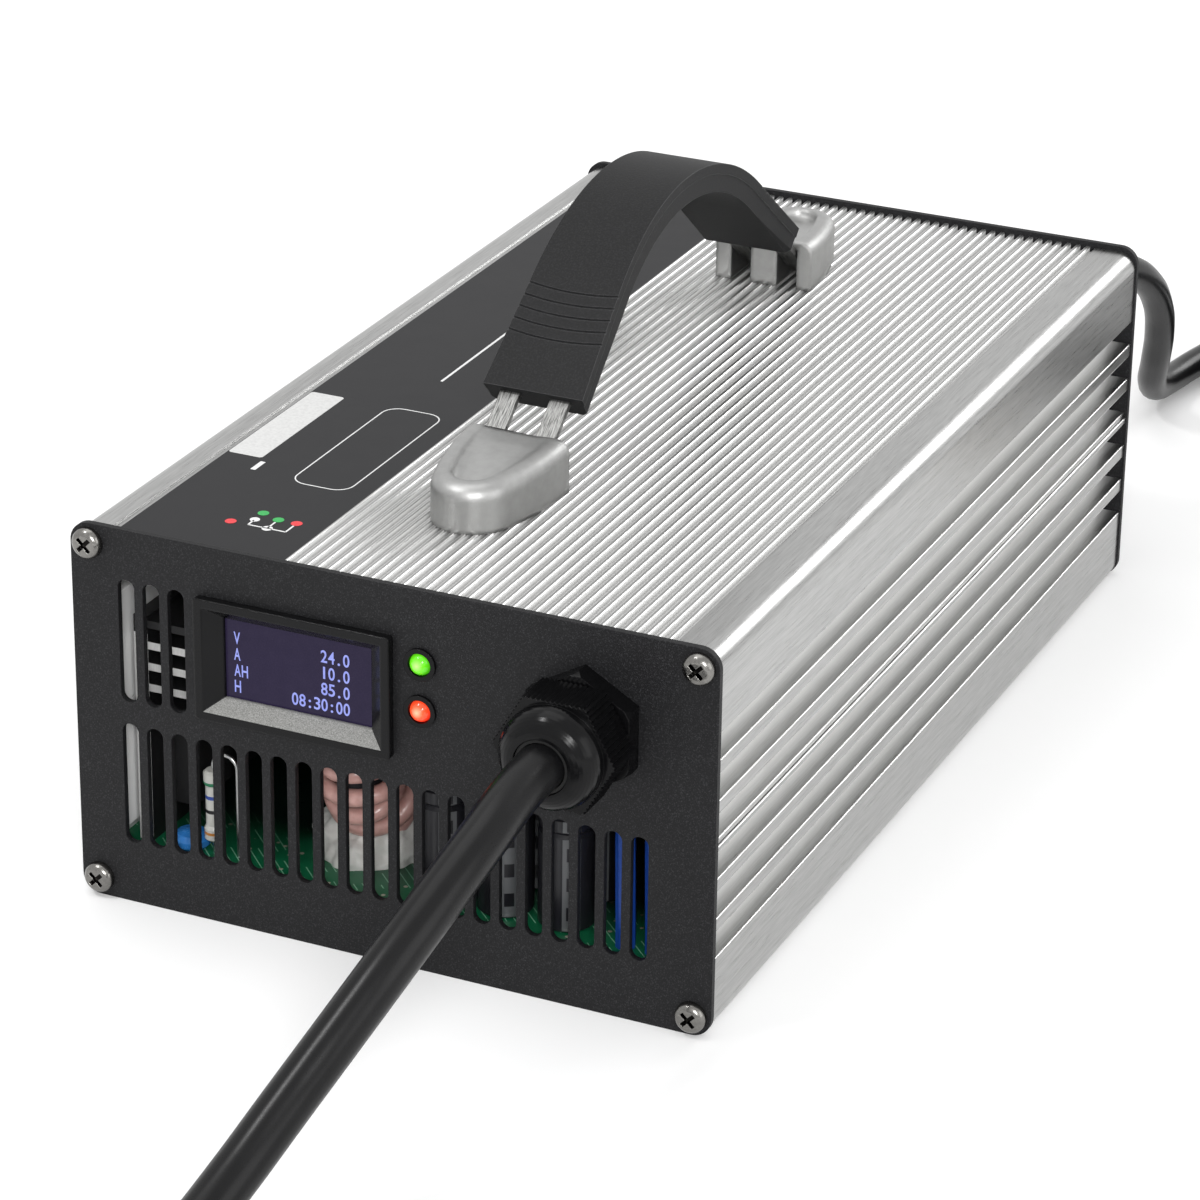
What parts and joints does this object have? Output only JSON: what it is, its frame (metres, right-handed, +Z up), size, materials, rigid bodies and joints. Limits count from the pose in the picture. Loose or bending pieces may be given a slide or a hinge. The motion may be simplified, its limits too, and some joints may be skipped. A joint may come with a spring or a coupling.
{
  "type": "forklift battery charger",
  "caption": "Fan-cooled battery charger in a finned aluminium case, with a strap handle, a small display, status lamps, vent slots and coiled input and output cables.",
  "frame": {"origin": "on the surface that the charger stands on, under the middle of the housing", "axes": "+X to the right seen from the display end, +Y from the display end towards the fan end, +Z up"},
  "size_m": [0.2343, 0.7307, 0.1379],
  "materials": {
    "housing_aluminium": "brushed, clear anodised",
    "plate_black": "fine black texture coat",
    "screw_steel": "nickel plated",
    "label_black": "satin film",
    "grip_plastic": "fine grained",
    "strap_steel": "plain",
    "cap_zinc": "satin cast zinc",
    "bezel_plastic": "satin",
    "display_window": "dark violet",
    "green_board": "green solder mask",
    "lamp_green": "lit",
    "lamp_red": "lit",
    "gland_nylon": "glossy nylon",
    "seal_rubber": "matte",
    "cable_jacket": "satin",
    "tie_fabric": "woven",
    "connector_plastic": "grey moulded",
    "contact_metal": "tin plated",
    "pin_brass": "plain",
    "fan_plastic": "moulded",
    "guard_steel": "plated wire",
    "sink_black": "black anodised",
    "device_epoxy": "moulded epoxy",
    "ferrite_grey": "sintered",
    "choke_wire": "enamelled wire",
    "silicone_white": "silicone glue",
    "capacitor_sleeve": "shrink sleeve",
    "tape_yellow": "polyester tape",
    "resistor_coat": "pale blue coat",
    "lead_tin": "tinned wire",
    "blue_coat": "dipped",
    "wire_blue": "insulated wire"
  },
  "bodies": {
    "charger": {"upper_shell": "housing_aluminium", "lower_shell": "housing_aluminium", "front_plate": "plate_black", "back_plate": "plate_black", "front_plate_screws": "screw_steel", "back_plate_screws": "screw_steel", "label_film": "label_black", "handle_grip": "grip_plastic", "strap_left": "strap_steel", "strap_right": "strap_steel", "handle_cap_front": "cap_zinc", "handle_cap_back": "cap_zinc", "handle_cap_screws": "screw_steel", "display_bezel": "bezel_plastic", "display_glass": "display_window", "display_board": "green_board", "lamp_green": "lamp_green", "lamp_red": "lamp_red", "lamp_holders": "bezel_plastic", "dc_gland_body": "gland_nylon", "dc_gland_nut": "gland_nylon", "dc_gland_seal": "seal_rubber", "dc_gland_locknut": "gland_nylon", "dc_cable": "cable_jacket", "dc_coil": "cable_jacket", "dc_tail": "cable_jacket", "dc_tie": "tie_fabric", "dc_connector": "connector_plastic", "dc_contacts": "contact_metal", "ac_gland_body": "gland_nylon", "ac_gland_nut": "gland_nylon", "ac_gland_seal": "seal_rubber", "ac_gland_locknut": "gland_nylon", "ac_cable": "cable_jacket", "ac_coil": "cable_jacket", "ac_tail": "cable_jacket", "ac_tie": "tie_fabric", "ac_plug": "cable_jacket", "ac_plug_pins": "pin_brass", "fan_frame": "fan_plastic", "fan_guard": "guard_steel", "fan_screws": "screw_steel", "fan_nuts": "screw_steel", "main_board": "green_board", "heat_sink_left": "sink_black", "heat_sink_right": "sink_black", "power_transistors": "device_epoxy", "choke_core": "ferrite_grey", "choke_winding": "choke_wire", "choke_glue": "silicone_white", "output_capacitors": "capacitor_sleeve", "input_capacitors": "capacitor_sleeve", "transformer_core": "ferrite_grey", "transformer_winding": "tape_yellow", "shunt_resistor": "resistor_coat", "resistor_leads": "lead_tin", "disc_capacitor": "blue_coat", "relay": "device_epoxy", "output_wires": "wire_blue"},
    "fan": {"fan_rotor": "fan_plastic"}
  },
  "joints": [
    {"name": "fan_spin", "type": "hinge", "parent": "charger", "child": "fan", "pos_m": [-0.022, 0.12, 0.043], "axis": [0, 1, 0], "continuous": true}
  ]
}
